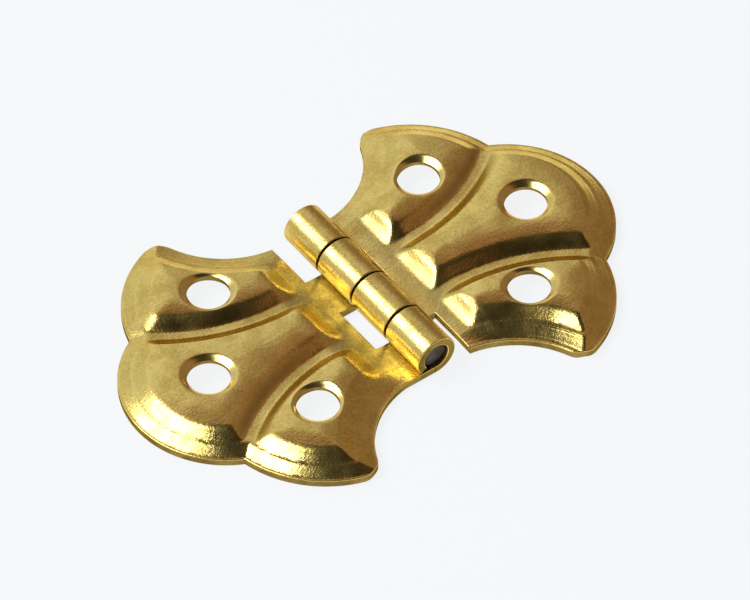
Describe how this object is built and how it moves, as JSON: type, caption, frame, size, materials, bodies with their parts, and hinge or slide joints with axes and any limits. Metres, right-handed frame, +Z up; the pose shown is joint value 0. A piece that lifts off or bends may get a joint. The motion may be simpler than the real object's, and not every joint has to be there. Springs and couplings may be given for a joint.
{
  "type": "butterfly hinge",
  "caption": "Pressed brass butterfly hinge: scalloped embossed leaves with countersunk screw holes, joined by rolled knuckles on a steel pin, shown lying open flat.",
  "frame": {"origin": "on the mounting plane, straight below the middle of the pin, with the hinge open flat", "axes": "+X across the hinge towards the right leaf, +Y along the pin, +Z up out of the mounting plane"},
  "size_m": [0.0516, 0.034, 0.0042],
  "materials": {
    "brass": "polished",
    "pin_steel": "dull"
  },
  "bodies": {
    "left_half": {"left_leaf": "brass", "hinge_pin": "pin_steel"},
    "right_half": {"right_leaf": "brass"}
  },
  "joints": [
    {"name": "leaf_fold", "type": "hinge", "parent": "left_half", "child": "right_half", "pos_m": [0, 0, 0.0021], "axis": [0, -1, 0], "range_deg": [-110, 170]}
  ]
}
